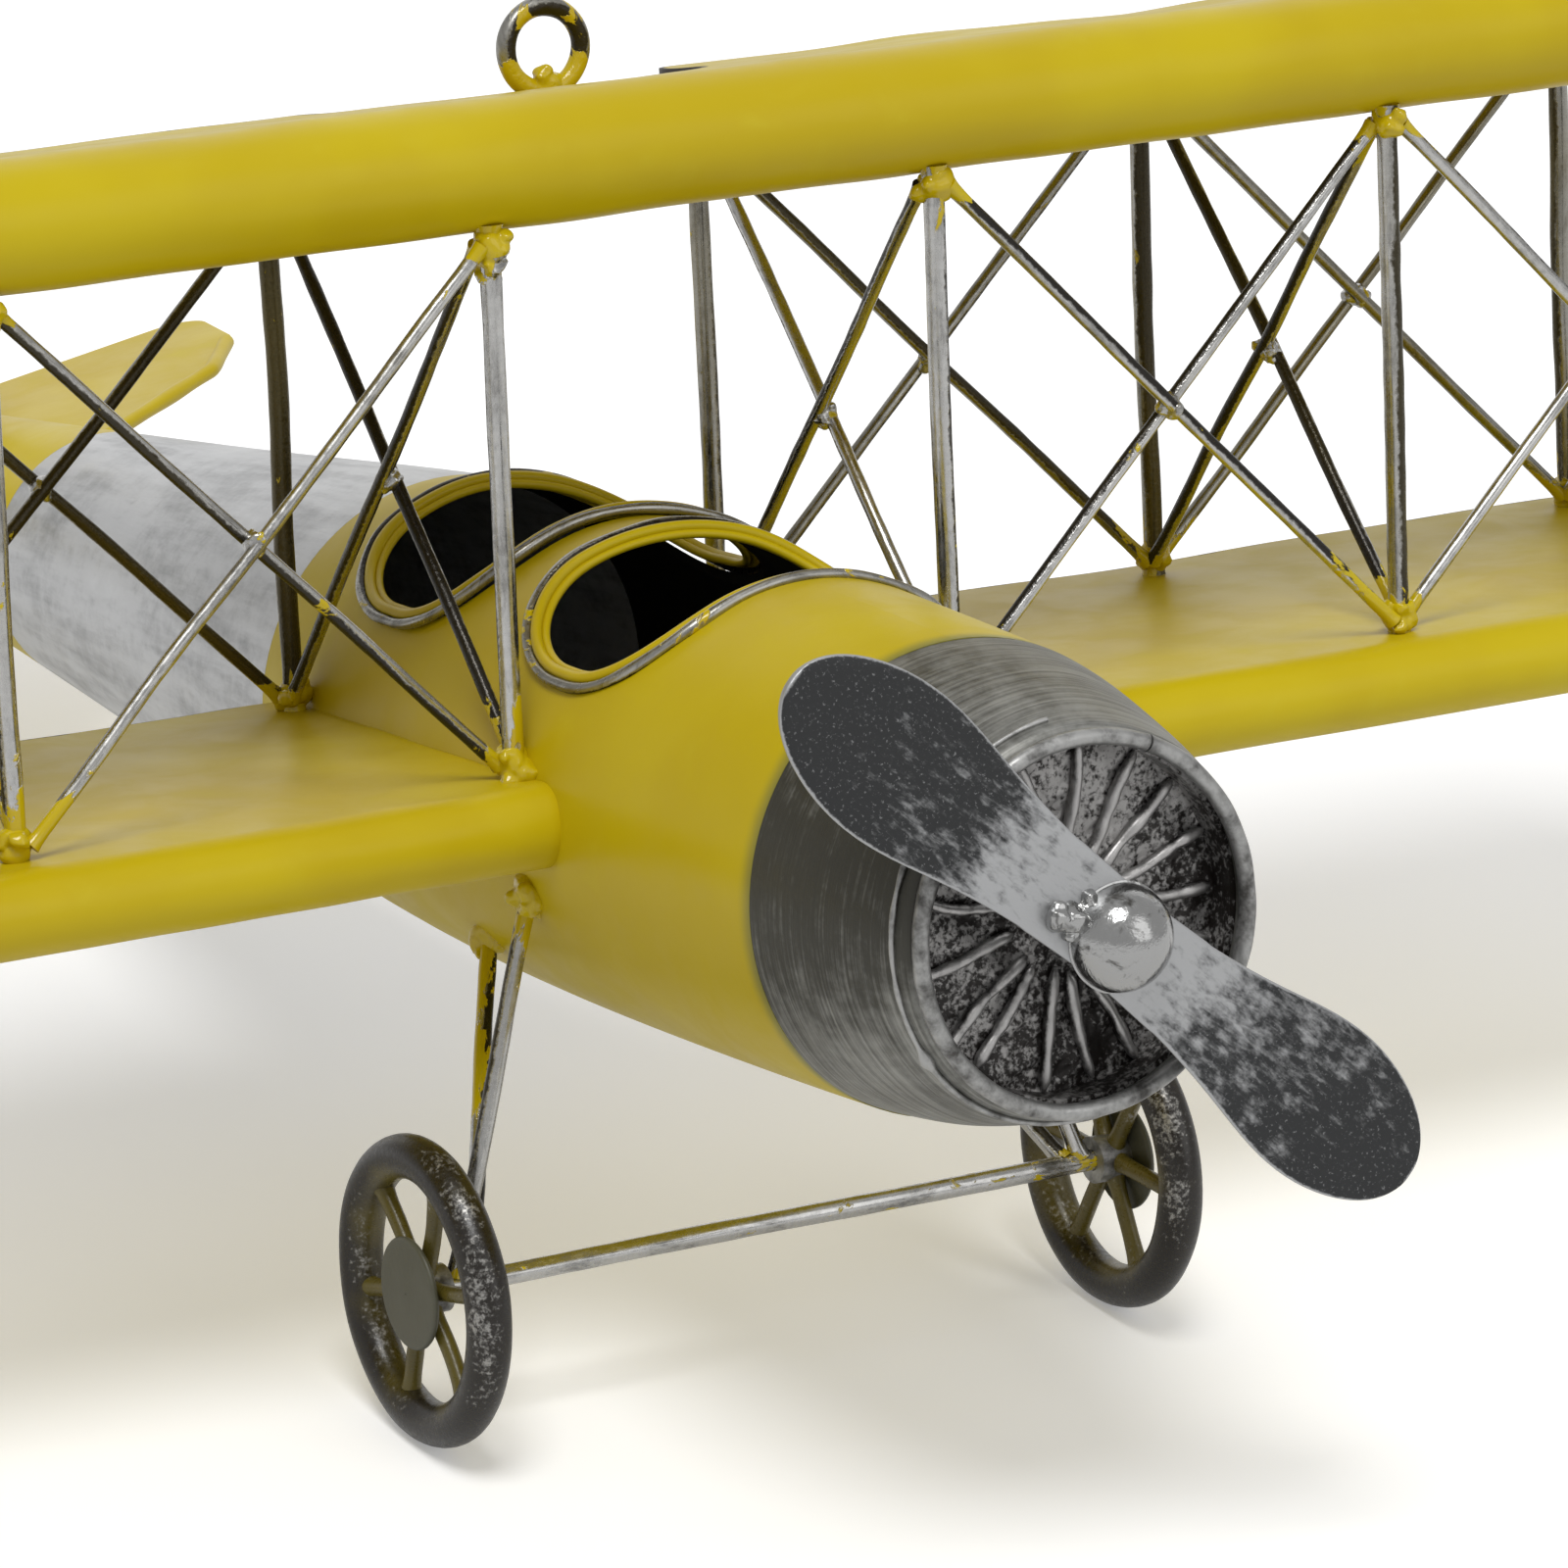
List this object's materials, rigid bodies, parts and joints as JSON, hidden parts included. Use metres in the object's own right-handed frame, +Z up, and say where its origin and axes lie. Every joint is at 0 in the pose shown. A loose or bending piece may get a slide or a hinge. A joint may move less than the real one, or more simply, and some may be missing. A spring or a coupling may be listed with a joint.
{
  "type": "biplane scale model",
  "caption": "Sheet-metal biplane ornament with wire-braced wings, two open cockpits, ribbed cowl, turning propeller and spoked wheels.",
  "frame": {"origin": "on the ground, midway between the outermost points left to right and front to back, with the model resting on its wheels and tail skid", "axes": "+X to port along the wings, +Y aft, +Z up; the nose points towards -Y, tipped 12 degrees up"},
  "size_m": [0.426, 0.4102, 0.1809],
  "materials": {
    "yellow_paint": "satin, chipped",
    "antique_silver": "brushed, dark patina",
    "grille_metal": "dark with bright ribs",
    "polished_steel": "burnished",
    "worn_wire": "worn, traces of paint",
    "wheel_iron": "dark, rubbed bright"
  },
  "bodies": {
    "airframe": {"fuselage_front": "yellow_paint", "fuselage_rear": "antique_silver", "tail_cone": "yellow_paint", "front_cockpit_rim": "worn_wire", "rear_cockpit_rim": "worn_wire", "engine_cowl": "antique_silver", "cowl_ring": "worn_wire", "engine_backplate": "grille_metal", "cylinder_ribs": "grille_metal", "shaft_bush": "grille_metal", "upper_wing": "yellow_paint", "port_lower_wing": "yellow_paint", "starboard_lower_wing": "yellow_paint", "port_inner_struts": "worn_wire", "port_inner_cross_brace": "worn_wire", "port_middle_struts": "worn_wire", "port_middle_cross_brace": "worn_wire", "port_outer_struts": "worn_wire", "port_outer_cross_brace": "worn_wire", "port_inner_front_brace": "worn_wire", "port_inner_rear_brace": "worn_wire", "port_outer_front_brace": "worn_wire", "port_outer_rear_brace": "worn_wire", "starboard_inner_struts": "worn_wire", "starboard_inner_cross_brace": "worn_wire", "starboard_middle_struts": "worn_wire", "starboard_middle_cross_brace": "worn_wire", "starboard_outer_struts": "worn_wire", "starboard_outer_cross_brace": "worn_wire", "starboard_inner_front_brace": "worn_wire", "starboard_inner_rear_brace": "worn_wire", "starboard_outer_front_brace": "worn_wire", "starboard_outer_rear_brace": "worn_wire", "hanging_eye": "worn_wire", "axle": "worn_wire", "port_front_leg": "worn_wire", "port_rear_leg": "worn_wire", "starboard_front_leg": "worn_wire", "starboard_rear_leg": "worn_wire", "port_tailplane": "yellow_paint", "starboard_tailplane": "yellow_paint", "tail_fin": "yellow_paint", "rudder": "yellow_paint", "skid_shoe": "worn_wire", "tail_skid": "worn_wire", "weld_beads": "yellow_paint"},
    "propeller_assembly": {"propeller": "antique_silver", "spinner": "polished_steel", "propeller_shaft": "polished_steel"},
    "port_wheel": {"port_wheel_rim": "wheel_iron", "port_wheel_spokes": "wheel_iron", "port_wheel_hub": "wheel_iron", "port_hub_disc": "wheel_iron"},
    "starboard_wheel": {"starboard_wheel_rim": "wheel_iron", "starboard_wheel_spokes": "wheel_iron", "starboard_wheel_hub": "wheel_iron", "starboard_hub_disc": "wheel_iron"}
  },
  "joints": [
    {"name": "propeller_spin", "type": "hinge", "parent": "airframe", "child": "propeller_assembly", "pos_m": [0, -0.19781, 0.09642], "axis": [0, -0.9886, 0.1504], "continuous": true},
    {"name": "port_wheel_roll", "type": "hinge", "parent": "airframe", "child": "port_wheel", "pos_m": [0.0557, -0.11362, 0.022], "axis": [1, 0, 0], "continuous": true},
    {"name": "starboard_wheel_roll", "type": "hinge", "parent": "airframe", "child": "starboard_wheel", "pos_m": [-0.0557, -0.11362, 0.022], "axis": [1, 0, 0], "continuous": true}
  ]
}
